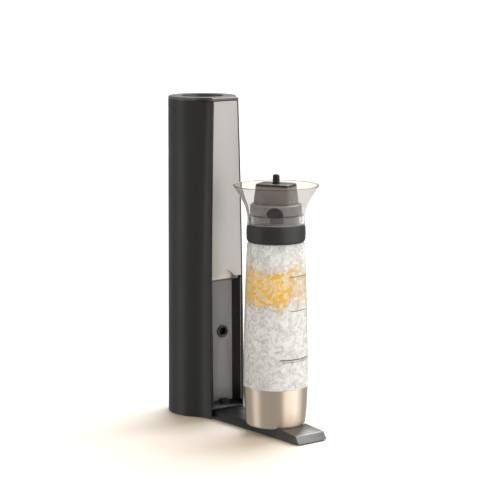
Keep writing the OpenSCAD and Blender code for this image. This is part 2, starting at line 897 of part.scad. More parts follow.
module nose_cap() {
    tip = arm_reach - nose_slope;
    color([0.5, 0.49, 0.48])
        in_tower()
            difference() {
                translate([arm_half_w, 0, 0])
                    rotate([90, 0, -90])
                        linear_extrude(2 * arm_half_w)
                            polygon([[-nose_y, arm_bottom_z], [-nose_y, nose_back_h - 0.4],
                                     [-nose_y + 0.4, nose_back_h], [tip - 0.5, nose_front_h],
                                     [tip + 0.3, nose_front_h - 0.5], [arm_reach, arm_bottom_z + 0.4],
                                     [arm_reach - 0.4, arm_bottom_z]]);
                box([-arm_half_w + arm_wall, -tip + 4, arm_bottom_z - 1],
                    [arm_half_w - arm_wall, nose_y + 1, arm_top - arm_wall]);
                translate([0, -bottle_reach, arm_top])
                    cylinder(r = cup_foot_r + 0.5, h = 20);
            }
}

module docking_valve() {
    low = arm_bottom_z + 1.7;
    color([0.7, 0.7, 0.72])
        in_tower()
            translate([0, -bottle_reach, 0])
                difference() {
                    union() {
                        translate([0, 0, low])
                            cylinder(r = docking_r, h = arm_top - low - 0.1);
                        translate([0, 0, arm_top - 0.2])
                            cylinder(r = 3.6, h = 5.6, $fn = 48);
                        translate([0, docking_r - 1, hose_z])
                            rotate([-90, 0, 0])
                                cylinder(r = barb_r, h = bottle_reach + dock_barb_y - docking_r + 1, $fn = 48);
                    }
                    translate([0, 0, low + 1.5])
                        cylinder(r = 1.5, h = 30, $fn = 32);
                    translate([0, 0, hose_z])
                        rotate([-90, 0, 0])
                            cylinder(r = 1.2, h = 40, $fn = 32);
                }
}

module docking_seal() {
    color([0.1, 0.1, 0.1])
        in_tower()
            translate([0, -bottle_reach, arm_top - 0.1])
                ring(7.6, 3.7, 1.3);
}

module rubber_feet() {
    color([0.05, 0.05, 0.05])
        in_tower() {
            for (a = [55, 90, 125])
                rotate(a)
                    translate([39.6, 0, 0])
                        cylinder(r = 2.6, h = plate_bottom, $fn = 32);
            for (side = [-1, 1], y = [-62, 20 - arm_reach])
                translate([side * 15, y, 0])
                    cylinder(r = 4, h = arm_bottom_z, $fn = 32);
        }
}

module block_screws() {
    color([0.75, 0.75, 0.77])
        in_tower()
            for (side = [-1, 1])
                translate([side * 6, barb_y, bridge_top])
                    rotate([180, 0, 0])
                        screw_up(18);
}

module base_screws() {
    color([0.75, 0.75, 0.77])
        in_tower()
            for (side = [-1, 1])
                translate([side * 6, -42.5, plate_bottom])
                    screw_up(arm_top - 1.5 - plate_bottom);
}

// ---------------------------------------------------------------- bottle

function vessel_at(z) =
    let (t = (z - cup_top) / (band_z - 3.5 - cup_top))
    vessel_r - (vessel_r - shoulder_r) * pow(max(t, 0), 1.7);

module bottle_vessel() {
    low_r = vessel_r - 3.7;
    ledge = cup_top + 0.4;
    rise = [for (i = [0:vessel_steps]) let (z = ledge + (band_z - 3.5 - ledge) * i / vessel_steps) z];
    outside = concat([[low_r - 3, floor_z], [low_r, floor_z + 2.5],
                      [vessel_r - cup_wall - cup_gap - 0.5, cup_top - 1],
                      [vessel_r - cup_wall - cup_gap - 0.5, ledge], [vessel_r - 0.5, ledge]],
                     [for (z = rise) [vessel_at(z), z + 0.4]],
                     [[neck_r + 0.8, band_z - 1], [neck_r, band_z], [neck_r, collar_bottom - 0.2],
                      [neck_r - 1, collar_bottom], [neck_r - 1, neck_top]]);
    inside = concat([[neck_bore_r, neck_top], [neck_bore_r, band_z - 2]],
                    [for (i = [vessel_steps:-1:0]) [vessel_at(rise[i]) - vessel_wall, rise[i] - 2]],
                    [[low_r - vessel_wall + 0.3, floor_z + floor_t + 4],
                     [low_r - vessel_wall - 3, floor_z + floor_t], [8, floor_z + floor_t], [8, floor_z]]);
    color([0.9, 0.93, 0.95, 0.35])
        at_bottle()
            rotate_extrude(convexity = 6)
                polygon(concat(outside, inside));
}

function flare_rise(z) = (sqrt((z - flare_z) * (z - flare_z) + flare_soft * flare_soft) + z - flare_z) / 2;
function flare_at(z) = rim_r - flare_slope * (flare_rise(rim_z) - flare_rise(z));

module flared_spout() {
    zs = [for (i = [0:spout_steps]) neck_top + (rim_z - neck_top) * i / spout_steps];
    color([0.92, 0.95, 0.96, 0.35])
        at_bottle()
            rotate_extrude(convexity = 6)
                polygon(concat([[neck_r - 0.8, collar_bottom], [flare_at(neck_top), collar_bottom]],
                               [for (z = zs) [flare_at(z), z]],
                               [[rim_r - 0.7, rim_z + 0.6], [rim_r - spout_wall, rim_z + 0.2]],
                               [for (i = [spout_steps:-1:1]) [flare_at(zs[i]) - spout_wall, zs[i]]],
                               [[flare_at(neck_top) - spout_wall, neck_top + 0.2], [neck_r - 0.8, neck_top + 0.2]]));
}

module grip_band() {
    bulge = 1.5;
    band_softness = 0.35;
    edge_r = neck_r + 1.9;
    color([0.1, 0.1, 0.1])
        at_bottle()
            rotate_extrude(convexity = 4)
                polygon(concat([[neck_r + 0.1, band_z + 0.2], [edge_r - 0.6, band_z + 0.2]],
                               [for (i = [0:10]) let (t = i / 10)
                                   [edge_r + bulge * pow(sin(180 * t), band_softness), band_z + 0.8 + (band_h - 1.6) * t]],
                               [[edge_r - 0.6, band_z + band_h], [neck_r + 0.1, band_z + band_h]]));
}

module steel_base() {
    foot_r = cup_foot_r;
    round = 4;
    outer = concat([[9, bottle_foot]],
                   arc_points(foot_r - round, bottle_foot + round, round, -90, -10, 6),
                   [[vessel_r - 1.4, bottle_foot + 22], [vessel_r - 0.3, cup_top]]);
    inner = concat([[vessel_r - 0.3 - cup_wall, cup_top], [vessel_r - 1.4 - cup_wall, bottle_foot + 22]],
                   arc_points(foot_r - round, bottle_foot + round, round - cup_wall, -10, -90, 6),
                   [[9, bottle_foot + cup_wall]]);
    color([0.8, 0.76, 0.7])
        at_bottle()
            rotate_extrude(convexity = 4)
                polygon(concat(outer, inner));
}

module base_seal() {
    color([0.1, 0.1, 0.1])
        at_bottle()
            translate([0, 0, floor_z - 1.3])
                ring(17.5, 14.5, 1.25);
}

module inlet_body() {
    low = bottle_foot + 1.3;
    color([0.85, 0.85, 0.83])
        at_bottle()
            difference() {
                union() {
                    translate([0, 0, low])
                        cylinder(r = 20, h = floor_z - low - 0.05);
                    translate([0, 0, low])
                        cylinder(r = 7.8, h = floor_z + floor_t + 4 - low);
                }
                translate([0, 0, floor_z - 1.4])
                    ring(17.7, 14.3, 3);
                translate([0, 0, low - 1])
                    cylinder(r = 4.4, h = 6.2);
                translate([0, 0, low])
                    cylinder(r = 1.6, h = 40, $fn = 48);
            }
}

module inlet_nut() {
    color([0.85, 0.85, 0.83])
        at_bottle()
            translate([0, 0, floor_z + floor_t + 0.1])
                difference() {
                    cylinder(r = 13, h = 3.4, $fn = 6);
                    translate([0, 0, -1])
                        cylinder(r = 7.85, h = 6);
                }
}

module inlet_flap() {
    seat = floor_z + floor_t + 4;
    color([0.2, 0.2, 0.2])
        at_bottle() {
            translate([0, 0, seat + 0.1])
                cylinder(r = 6, h = 1.2);
            translate([0, 0, seat - 4])
                cylinder(r = 1.2, h = 4.2, $fn = 48);
        }
}

// ---------------------------------------------------------------- cap

module cap_body() {
    tier_round = 1.5;
    groove = stopper_bottom + 2.5;
    bore = release_r + 0.35;
    color([0.2, 0.19, 0.19])
        at_bottle()
            difference() {
                rotate_extrude(convexity = 4)
                    polygon([[0, stopper_bottom], [stopper_r - 1.5, stopper_bottom], [stopper_r, stopper_bottom + 1.5],
                             [stopper_r, groove - 0.1], [stopper_r - 1.2, groove - 0.1],
                             [stopper_r - 1.2, groove + 3.3], [stopper_r, groove + 3.3],
                             [stopper_r, neck_top + 0.4], [tier_r - tier_round, neck_top + 0.4],
                             [tier_r, neck_top + 0.4 + tier_round], [tier_r, tier_top - tier_round],
                             [tier_r - tier_round, tier_top], [0, tier_top]]);
                translate([0, 0, tier_top - 7])
                    cylinder(r = bore, h = 8, $fn = 48);
                translate([0, 0, stopper_bottom - 1])
                    cylinder(r = 1.5, h = 30, $fn = 32);
                tab_shape(0.05, 1);
            }
}

// Domed tab with a stem down its right side, bent round the cap; gap grows it for its pocket
module tab_shape(gap, proud) {
    dome_half = 10.2;
    dome_z = tier_top - 10.6;
    stem_left = -5.1;
    low = stopper_bottom + 8;
    rotate(tab_angle)
        intersection() {
            translate([15, 0, 0])
                rotate([90, 0, 90])
                    linear_extrude(25)
                        polygon(concat([[stem_left - gap, low - gap], [dome_half + gap, low - gap]],
                                       [for (a = [0:10:180])
                                           [(dome_half + gap) * cos(a), dome_z + (9 + gap) * sin(a)]],
                                       [[-9.2 - gap, dome_z - 2], [-7 - gap, dome_z - 3.6]]));
            rotate_extrude(convexity = 4)
                polygon([[stopper_r - 2.4 - gap, low - 1], [stopper_r + proud, low - 1],
                         [stopper_r + proud, neck_top + 0.45 - gap], [tier_r + proud, neck_top + 0.45 - gap],
                         [tier_r + proud, tier_top], [stopper_r - 0.4 - gap, tier_top],
                         [stopper_r - 2.4 - gap, neck_top + 2]]);
        }
}

module cap_seal() {
    color([0.75, 0.75, 0.73])
        at_bottle()
            translate([0, 0, stopper_bottom + 2.5])
                ring(neck_bore_r - 0.3, stopper_r - 1.15, 3.2);
}

module cap_grip() {
    low = tier_top + 0.05;
    levels = [[low, 25.4, 16.8, 5], [grip_top - 2.6, 23.3, 14.8, 5], [grip_top - 1, 22.7, 14.2, 4.8],
              [grip_top - 0.3, 21.8, 13.3, 4.2], [grip_top, 20.8, 12.3, 3.4]];
    color([0.17, 0.17, 0.17])
        at_bottle()
            difference() {
                rotate(grip_turn)
                    hull()
                        for (l = levels, sx = [-1, 1], sy = [-1, 1])
                            translate([sx * (l[2] - l[3]), sy * (l[1] - l[3]), l[0] - (l[0] > low ? 0.2 : 0)])
                                cylinder(r = l[3], h = 0.2, $fn = 32);
                translate([0, 0, low - 1])
                    cylinder(r = release_r + 0.35, h = 60, $fn = 48);
            }
}

module cap_tab() {
    color([0.05, 0.05, 0.05])
        at_bottle()
            tab_shape(0, 0);
}

module release_button() {
    low = tier_top - 7 + release_travel + 1.4;
    color([0.06, 0.06, 0.06])
        at_bottle() {
            translate([0, 0, low])
                cylinder(r1 = release_r - 0.3, r2 = release_r, h = 3, $fn = 48);
            translate([0, 0, low + 3 - eps])
                cylinder(r = release_r, h = release_top - 3 - low - 3, $fn = 48);
            translate([0, 0, release_top - 3 - eps])
                rotate_extrude($fn = 48)
                    polygon(concat([[0, 0]], arc_points(release_r - 3, 0, 3, 0, 90, 6), [[0, 3]]));
        }
}

module release_spring() {
    color([0.75, 0.75, 0.78])
        at_bottle()
            coil(3, 0.4, tier_top - 7 + 0.03, tier_top - 7 + release_travel + 1.37, 3);
}

outer_shell();
top_bezel();
push_button();
button_guide();
button_spring();
rocker_lever();
lever_pin();
valve_block();
valve_pin();
relief_valve();
hose_barbs();
gas_hose();
vent_hose();
gas_cylinder();
cylinder_valve();
cylinder_seal();
chassis_frame();
front_cover();
cover_pin();
cover_magnets();
finger_scoop();
niche_panel();
port_ring();
base_plate();
cylinder_door();
base_sill();
tray_catch();
tray_arm();
arm_bottom();
nose_cap();
docking_valve();
docking_seal();
rubber_feet();
block_screws();
base_screws();
bottle_vessel();
flared_spout();
grip_band();
steel_base();
base_seal();
inlet_body();
inlet_nut();
inlet_flap();
cap_body();
cap_seal();
cap_grip();
cap_tab();
release_button();
release_spring();
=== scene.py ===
import json
import math
import random

import bpy
from mathutils import Matrix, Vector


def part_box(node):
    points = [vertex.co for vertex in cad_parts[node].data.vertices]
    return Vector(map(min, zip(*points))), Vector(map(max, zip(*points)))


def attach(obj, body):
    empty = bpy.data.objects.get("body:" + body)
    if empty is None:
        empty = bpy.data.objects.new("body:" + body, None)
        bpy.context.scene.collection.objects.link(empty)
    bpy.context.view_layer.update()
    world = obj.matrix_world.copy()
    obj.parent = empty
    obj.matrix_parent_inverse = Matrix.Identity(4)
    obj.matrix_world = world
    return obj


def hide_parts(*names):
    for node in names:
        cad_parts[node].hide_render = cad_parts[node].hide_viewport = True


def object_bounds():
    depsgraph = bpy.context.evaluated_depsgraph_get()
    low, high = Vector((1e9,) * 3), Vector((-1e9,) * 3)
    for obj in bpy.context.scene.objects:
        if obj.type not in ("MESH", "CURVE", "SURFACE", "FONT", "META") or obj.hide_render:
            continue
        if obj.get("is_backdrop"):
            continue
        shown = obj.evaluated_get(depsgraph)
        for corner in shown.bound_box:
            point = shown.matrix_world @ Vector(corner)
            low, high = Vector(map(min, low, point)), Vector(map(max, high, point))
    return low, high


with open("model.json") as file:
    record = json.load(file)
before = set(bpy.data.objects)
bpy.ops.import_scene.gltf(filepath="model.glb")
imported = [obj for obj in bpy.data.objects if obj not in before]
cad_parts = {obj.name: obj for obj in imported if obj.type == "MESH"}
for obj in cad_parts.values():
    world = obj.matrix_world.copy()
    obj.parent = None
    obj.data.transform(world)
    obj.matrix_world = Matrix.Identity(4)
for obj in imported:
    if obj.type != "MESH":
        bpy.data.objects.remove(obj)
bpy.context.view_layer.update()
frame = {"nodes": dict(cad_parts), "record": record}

# ---------------------------------------------------------------- camera
# A long lens at the front left, about 2.5 m off and higher than the tower,
# looking down by nine degrees.
camera = bpy.data.objects.new("camera", bpy.data.cameras.new("camera"))
camera.data.sensor_width = 36
camera.data.lens = 144.9
camera.data.clip_end = 200
camera.location = (-1.5092, -1.9294, 0.6173)
camera.rotation_euler = (math.radians(81.24), 0, math.radians(-37.88))
bpy.context.scene.collection.objects.link(camera)
bpy.context.scene.camera = camera

# ---------------------------------------------------------------- worktop and light
# A plain white worktop that runs out of sight. The room is a dim studio with a
# bright ceiling, a wide bright window ahead of the front and weaker ones to the
# right and the back left. A large soft lamp stands high on the right.
bpy.ops.object.select_all(action="DESELECT")
bpy.ops.mesh.primitive_plane_add(size=160, location=(0, 0, 0))
worktop = bpy.context.object
worktop.name = "worktop"
worktop.visible_glossy = False
worktop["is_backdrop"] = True


def new_material(name, color, roughness, metallic=0.0, specular=0.5):
    """A material with its shader's plain values set, and its node tree."""
    made = bpy.data.materials.new(name)
    made.use_nodes = True
    shader = made.node_tree.nodes["Principled BSDF"]
    shader.inputs["Base Color"].default_value = (*color, 1)
    shader.inputs["Roughness"].default_value = roughness
    shader.inputs["Metallic"].default_value = metallic
    shader.inputs["Specular IOR Level"].default_value = specular
    return made, made.node_tree, shader


def add_node(tree, kind, inputs=None, **settings):
    """A node of one kind; inputs are values, or sockets to link from."""
    made = tree.nodes.new(kind)
    for key, value in settings.items():
        setattr(made, key, value)
    for key, value in (inputs or {}).items():
        if isinstance(value, bpy.types.NodeSocket):
            tree.links.new(value, made.inputs[key])
        else:
            made.inputs[key].default_value = value
    return made


def calc(tree, operation, *values):
    """The result of a math node on values or sockets."""
    made = add_node(tree, "ShaderNodeMath", dict(enumerate(values)), operation=operation)
    return made.outputs[0]


def ranged(tree, value, low, high, to_low=0.0, to_high=1.0, smooth=False):
    """A value taken from one range to another, and held at its ends."""
    limits = {"Value": value, "From Min": low, "From Max": high,
              "To Min": to_low, "To Max": to_high}
    kind = "SMOOTHSTEP" if smooth else "LINEAR"
    return add_node(tree, "ShaderNodeMapRange", limits, interpolation_type=kind).outputs[0]


def blended(tree, factor, first, second):
    """A colour between two, each a plain colour or a socket."""
    values = {"Factor": factor}
    for key, color in (("A", first), ("B", second)):
        values[key] = color if isinstance(color, bpy.types.NodeSocket) else (*color, 1)
    return add_node(tree, "ShaderNodeMix", values, data_type="RGBA").outputs["Result"]


def noise(tree, place, scale, detail, **more):
    """Noise between 0 and 1."""
    values = {"Vector": place, "Scale": scale, "Detail": detail, **more}
    return add_node(tree, "ShaderNodeTexNoise", values).outputs["Fac"]


def object_place(tree):
    """Places in the object's own frame."""
    return add_node(tree, "ShaderNodeTexCoord").outputs["Object"]


def paint(piece, finish):
    """Gives the whole piece one material."""
    if not piece.data.materials:
        piece.data.materials.append(finish)
    for i in range(len(piece.data.materials)):
        piece.data.materials[i] = finish


worktop_white, tree, shader = new_material("worktop_white", (0.86, 0.86, 0.86), 0.75, 0, 0.1)
mottle = noise(tree, object_place(tree), 3.0, 2.0)
tree.links.new(ranged(tree, mottle, 0, 1, 0.74, 0.76), shader.inputs["Roughness"])
paint(worktop, worktop_white)

world = bpy.data.worlds.new("studio")
bpy.context.scene.world = world
world.use_nodes = True
tree = world.node_tree
tree.nodes.clear()
AMBIENT, CEILING, BACKDROP = 0.42, 0.45, 1.02
WHITE, WARM = (1, 1, 1), (0.87, 0.70, 0.52)
WINDOWS = (
    # azimuth, half width, edge, strength
    (287, 26, 2, 1.35),
    (322, 10, 12, 0.9),
    (154, 10, 6, 0.8),
)
place = add_node(tree, "ShaderNodeTexCoord")
split = add_node(tree, "ShaderNodeSeparateXYZ", {"Vector": place.outputs["Generated"]})
height = split.outputs["Z"]
heading = calc(tree, "ARCTAN2", split.outputs["Y"], split.outputs["X"])
sill = ranged(tree, height, -0.7, -0.5, smooth=True)
lintel = ranged(tree, height, 0.8, 0.95, 1, 0, smooth=True)
opening = calc(tree, "MULTIPLY", sill, lintel)
total = ranged(tree, height, 0.5, 1, AMBIENT, AMBIENT + CEILING, smooth=True)
for azimuth, half_width, edge, strength in WINDOWS:
    around = calc(tree, "COSINE", calc(tree, "SUBTRACT", heading, math.radians(azimuth)))
    outer = math.cos(math.radians(half_width + edge))
    inner = math.cos(math.radians(half_width))
    side = ranged(tree, around, outer, inner, 0, strength, smooth=True)
    total = calc(tree, "ADD", total, calc(tree, "MULTIPLY", side, opening))
path = add_node(tree, "ShaderNodeLightPath")
tint = blended(tree, path.outputs["Is Diffuse Ray"], WHITE, WARM)
surround = add_node(tree, "ShaderNodeBackground", {"Color": tint, "Strength": total})
backdrop = add_node(tree, "ShaderNodeBackground", {"Color": (*WHITE, 1), "Strength": BACKDROP})
both = add_node(tree, "ShaderNodeMixShader",
                {0: path.outputs["Is Camera Ray"], 1: surround.outputs[0], 2: backdrop.outputs[0]})
add_node(tree, "ShaderNodeOutputWorld", {"Surface": both.outputs[0]})

lamp = bpy.data.objects.new("lamp", bpy.data.lights.new("lamp", "SUN"))
lamp.data.energy = 3.6
lamp.data.angle = math.radians(50)
lamp_height, lamp_heading = math.radians(52), math.radians(30)
lamp.rotation_euler = (math.pi / 2 - lamp_height, 0, lamp_heading + math.pi / 2)
bpy.context.scene.collection.objects.link(lamp)
bpy.context.scene.view_settings.view_transform = "Standard"
bpy.context.scene.view_settings.look = "None"

# ---------------------------------------------------------------- outer shell
# One wrap of injection-moulded black plastic, 2.4 mm thick, with a round back
# and hollow sides, spark-eroded to a fine matt texture.
node_body = {n: b for b, ns in frame["record"]["behaviour"]["bodies"].items() for n in ns}
node_slot = {p["node"]: p["material_slot"] for p in frame["record"]["subparts"]}
weld_gap, flat_angle = 0.00002, 0.4


def finished(node, edge, smooth):
    """The node's own shape, its corners broken by a small radius and its round faces smooth."""
    bpy.ops.object.select_all(action="DESELECT")
    piece = bpy.data.objects.new(node + "_finished", frame["nodes"][node].data.copy())
    bpy.context.scene.collection.objects.link(piece)
    piece.select_set(True)
    bpy.context.view_layer.objects.active = piece
    bpy.ops.mesh.customdata_custom_splitnormals_clear()
    bpy.ops.object.mode_set(mode="EDIT")
    bpy.ops.mesh.select_all(action="SELECT")
    bpy.ops.mesh.remove_doubles(threshold=weld_gap)
    if edge:
        bpy.ops.mesh.dissolve_limited(angle_limit=math.radians(flat_angle))
    bpy.ops.object.mode_set(mode="OBJECT")
    if edge:
        bevel = piece.modifiers.new("edge", "BEVEL")
        bevel.width = edge
        bevel.segments = 2
        bevel.limit_method = "ANGLE"
        bevel.angle_limit = math.radians(smooth)
        bevel.harden_normals = False
        bpy.ops.object.modifier_apply(modifier=bevel.name)
    bpy.ops.object.shade_smooth_by_angle(angle=math.radians(smooth))
    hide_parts(node)
    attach(piece, node_body[node])
    return piece


moulded = bpy.data.node_groups.new("moulded_grain", "ShaderNodeTree")
for name, value in (("Grain Scale", 1500.0), ("Patch Scale", 22.0)):
    socket = moulded.interface.new_socket(name, in_out="INPUT", socket_type="NodeSocketFloat")
    socket.default_value = value
for name in ("Height", "Patch"):
    moulded.interface.new_socket(name, in_out="OUTPUT", socket_type="NodeSocketFloat")
given = add_node(moulded, "NodeGroupInput")
place = object_place(moulded)
grain = noise(moulded, place, given.outputs["Grain Scale"], 3.0)
patch = noise(moulded, place, given.outputs["Patch Scale"], 4.0, Roughness=0.6)
add_node(moulded, "NodeGroupOutput", {"Height": grain, "Patch": patch})


def relief(tree, height, distance, strength, **more):
    """The normal of a surface raised by a height."""
    values = {"Height": height, "Distance": distance, "Strength": strength, **more}
    return add_node(tree, "ShaderNodeBump", values).outputs["Normal"]


def moulded_finish(name, color, roughness, grain_scale, grain_depth, metallic=0.0,
                   specular=0.5, spread=0.06, shade=0.07, coat=0.0):
    """A fine grain in relief, and slight patches of tone and gloss."""
    made, tree, shader = new_material(name, color, roughness, metallic, specular)
    shader.inputs["Coat Weight"].default_value = coat
    shader.inputs["Coat Roughness"].default_value = 0.12
    grain = add_node(tree, "ShaderNodeGroup", node_tree=moulded)
    grain.inputs["Grain Scale"].default_value = grain_scale
    patch = grain.outputs["Patch"]
    gloss = ranged(tree, patch, 0.3, 0.7, roughness - spread, roughness + spread)
    darker, lighter = ([c * share for c in color] for share in (1 - shade, 1 + shade))
    tone = blended(tree, patch, darker, lighter)
    tree.links.new(tone, shader.inputs["Base Color"])
    tree.links.new(gloss, shader.inputs["Roughness"])
    tree.links.new(relief(tree, grain.outputs["Height"], grain_depth, 0.8), shader.inputs["Normal"])
    return made


shell_black = moulded_finish("shell_black", (0.013, 0.013, 0.013), 0.40, 2200, 0.00003)
paint(finished("outer_shell", 0.0, 28), shell_black)

# ---------------------------------------------------------------- top bezel and button
# A satin dark grey moulding caps the shell. Its round well leads down to the
# dished push button, and the front cover hangs on a pin between its two lugs.
bezel_grey = moulded_finish("bezel_grey", (0.06, 0.057, 0.054), 0.30, 1800, 0.00001,
                            specular=0.6, coat=0.2)
paint(finished("top_bezel", 0.00025, 32), bezel_grey)
button_black = moulded_finish("button_black", (0.015, 0.015, 0.015), 0.5, 1500, 0.00003)
paint(finished("push_button", 0.0006, 32), button_black)

# ---------------------------------------------------------------- silver front
# A thin satin silver cover with a bell-shaped finger notch, and behind the
# notch the silver scoop that the fingertip meets.
cover_silver = moulded_finish("cover_silver", (0.43, 0.43, 0.425), 0.48, 3200, 0.000012,
                              metallic=0.4,
                              spread=0.03, shade=0.02)
paint(finished("front_cover", 0.00035, 32), cover_silver)
scoop_silver = moulded_finish("scoop_silver", (0.42, 0.40, 0.37), 0.30, 3000, 0.00001, metallic=0.5,
                              spread=0.03)
paint(finished("finger_scoop", 0.0003, 32), scoop_silver)

# ---------------------------------------------------------------- niche
# The recessed lower front in dark satin grey, its side walls painted near black
# as painted shade, with a ringed port in its flat back, and a sloping gloss sill at
# its foot that holds a small catch.
niche_grey = moulded_finish("niche_grey", (0.15, 0.15, 0.15), 0.45, 2600, 0.00002, metallic=0.4,
                            spread=0.05)
niche = finished("niche_panel", 0.0003, 32)
paint(niche, niche_grey)
trim_black = moulded_finish("trim_black", (0.006, 0.006, 0.006), 0.3, 1400, 0.000012,
                            specular=0.35)
# The side walls of the recess take the near-black trim as painted shade.
niche.data.materials.append(trim_black)
for face in niche.data.polygons:
    if abs(face.normal.x) > 0.3:  # its side walls
        face.material_index = 1
paint(finished("port_ring", 0.0003, 32), trim_black)
paint(finished("base_sill", 0.0004, 32), trim_black)
catch_black = moulded_finish("catch_black", (0.004, 0.004, 0.004), 0.55, 1400, 0.000012,
                             specular=0.15)
paint(finished("tray_catch", 0.0004, 32), catch_black)

# ---------------------------------------------------------------- arm
# A low black plastic arm that ends in a raised nose in satin grey, whose sloping
# end is painted lighter, as painted light. Its floor, the base plate and the hatch are black too.
arm_black = moulded_finish("arm_black", (0.009, 0.009, 0.009), 0.36, 2000, 0.00002, specular=0.4)
paint(finished("tray_arm", 0.0004, 32), arm_black)
for node in ("arm_bottom", "base_plate", "cylinder_door"):
    paint(finished(node, 0.0003, 32), arm_black)
nose_grey = moulded_finish("nose_grey", (0.075, 0.074, 0.073), 0.38, 2600, 0.000015, metallic=0.6)
# A lighter copy of the nose's grey for its sloping end: painted light.
nose_end_painted_light = moulded_finish("nose_end_painted_light", (0.20, 0.197, 0.193), 0.36, 2600, 0.000015,
                               metallic=0.75)
nose = finished("nose_cap", 0.00045, 30)
paint(nose, nose_grey)
# The faces of the sloping end take the lighter copy: painted light.
nose.data.materials.append(nose_end_painted_light)
for face in nose.data.polygons:
    if face.normal.y < -0.5:  # its sloping end
        face.material_index = 1

# ---------------------------------------------------------------- bottle
# A blown clear vessel in a spun steel cup, with a clear flared spout above a
# black silicone grip band.


def clear_finish(name, color, painted_edge_shade, ior, milk, lip=1.0):
    """Clear plastic with painted shade: a dark line where it turns away, and all round above the
    height lip.
    """
    made, tree, shader = new_material(name, color, 0.03)
    shader.inputs["Transmission Weight"].default_value = 1.0
    shader.inputs["IOR"].default_value = ior
    facing = add_node(tree, "ShaderNodeLayerWeight", {"Blend": 0.35}).outputs["Facing"]
    turned = ranged(tree, facing, 0.62, 0.95, smooth=True)
    place = object_place(tree)
    split = add_node(tree, "ShaderNodeSeparateXYZ", {"Vector": place})
    above = ranged(tree, split.outputs["Z"], lip - 0.0002, lip, 0, 0.8)
    # Painted shade: the colour darkens where the surface turns away and above the lip.
    tone = blended(tree, calc(tree, "MAXIMUM", turned, above), color, painted_edge_shade)
    tree.links.new(tone, shader.inputs["Base Color"])
    wave = noise(tree, place, 16.0, 2.0)
    tree.links.new(relief(tree, wave, 0.0006, 0.25), shader.inputs["Normal"])
    haze = add_node(tree, "ShaderNodeBsdfDiffuse", {"Color": (0.86, 0.85, 0.83, 1)})
    milkiness = ranged(tree, facing, 0, 1, milk, milk * 2.5)
    body = add_node(tree, "ShaderNodeMixShader",
                    {0: milkiness, 1: shader.outputs[0], 2: haze.outputs[0]})
    clear = add_node(tree, "ShaderNodeBsdfTransparent", {"Color": (0.95, 0.95, 0.945, 1)})
    path = add_node(tree, "ShaderNodeLightPath")
    both = add_node(tree, "ShaderNodeMixShader",
                    {0: path.outputs["Is Shadow Ray"], 1: body.outputs[0], 2: clear.outputs[0]})
    tree.links.new(both.outputs[0], tree.nodes["Material Output"].inputs["Surface"])
    return made


lip_depth = 0.0009
# The second colour of each clear finish is its painted edge shade.
bottle_clear = clear_finish("bottle_clear", (0.97, 0.97, 0.965), (0.55, 0.54, 0.53), 1.38, 0.02)
spout_clear = clear_finish("spout_clear", (0.73, 0.745, 0.76), (0.26, 0.26, 0.26), 1.14, 0.01,
                           lip=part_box("flared_spout")[1].z - lip_depth)
paint(finished("bottle_vessel", 0.0, 30), bottle_clear)
paint(finished("flared_spout", 0.0, 40), spout_clear)
band_black = moulded_finish("band_black", (0.014, 0.014, 0.014), 0.42, 1300, 0.00004)
paint(finished("grip_band", 0.0, 40), band_black)

base_steel, tree, shader = new_material("base_steel", (0.78, 0.65, 0.51), 0.44, 1.0)
shader.inputs["Anisotropic"].default_value = 0.85
shader.inputs["Anisotropic Rotation"].default_value = 0.25
spun = add_node(tree, "ShaderNodeMapping", {"Vector": object_place(tree), "Scale": (3, 3, 900)})
lines = noise(tree, spun.outputs[0], 4.0, 5.0)
tree.links.new(relief(tree, lines, 0.00001, 0.5), shader.inputs["Normal"])
tree.links.new(ranged(tree, lines, 0, 1, 0.40, 0.52), shader.inputs["Roughness"])
paint(finished("steel_base", 0.0, 40), base_steel)

# ---------------------------------------------------------------- cap
# A smoke brown stopper whose grip is black on top, a black tab on its side, and
# a pin in the middle that lets the pressure out.
cap_smoke = moulded_finish("cap_smoke", (0.22, 0.19, 0.176), 0.25, 1500, 0.000012, specular=0.7)
tree = cap_smoke.node_tree
shader = tree.nodes["Principled BSDF"]
split = add_node(tree, "ShaderNodeSeparateXYZ", {"Vector": object_place(tree)})
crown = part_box("cap_grip")[1].z
smoke_end, black_start = crown - 0.0042, crown - 0.0030
top = ranged(tree, split.outputs["Z"], smoke_end, black_start)
smoke = shader.inputs["Base Color"].links[0].from_socket
tree.links.new(blended(tree, top, smoke, (0.010, 0.0095, 0.009)), shader.inputs["Base Color"])
paint(finished("cap_body", 0.0003, 32), cap_smoke)
paint(finished("cap_grip", 0.0006, 35), cap_smoke)
tab_black = moulded_finish("tab_black", (0.008, 0.008, 0.008), 0.42, 1300, 0.000012, specular=0.35)
paint(finished("cap_tab", 0.0002, 32), tab_black)
paint(finished("release_button", 0.0003, 35), tab_black)

# ---------------------------------------------------------------- drink
# Sparkling water being charged with gas, with slices of orange near its top.
# It is only for looks: its own mass isn't in the frame.
bottle_low, bottle_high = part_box("bottle_vessel")
axis_y = (bottle_low.y + bottle_high.y) / 2
band_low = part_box("grip_band")[0].z
cup_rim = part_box("steel_base")[1].z
vessel_radius = (bottle_high.x - bottle_low.x) / 2
vessel_wall = 0.0024
shoulder_drop, shoulder_power, shoulder_end = 0.0046, 1.7, 0.0035
neck_radius = 0.0308
turned_sides = 96


def inside_radius(z):
    """The vessel's inner radius, which narrows towards the grip band."""
    rise = max((z - cup_rim) / (band_low - shoulder_end - cup_rim), 0)
    return vessel_radius - vessel_wall - shoulder_drop * min(rise, 1) ** shoulder_power


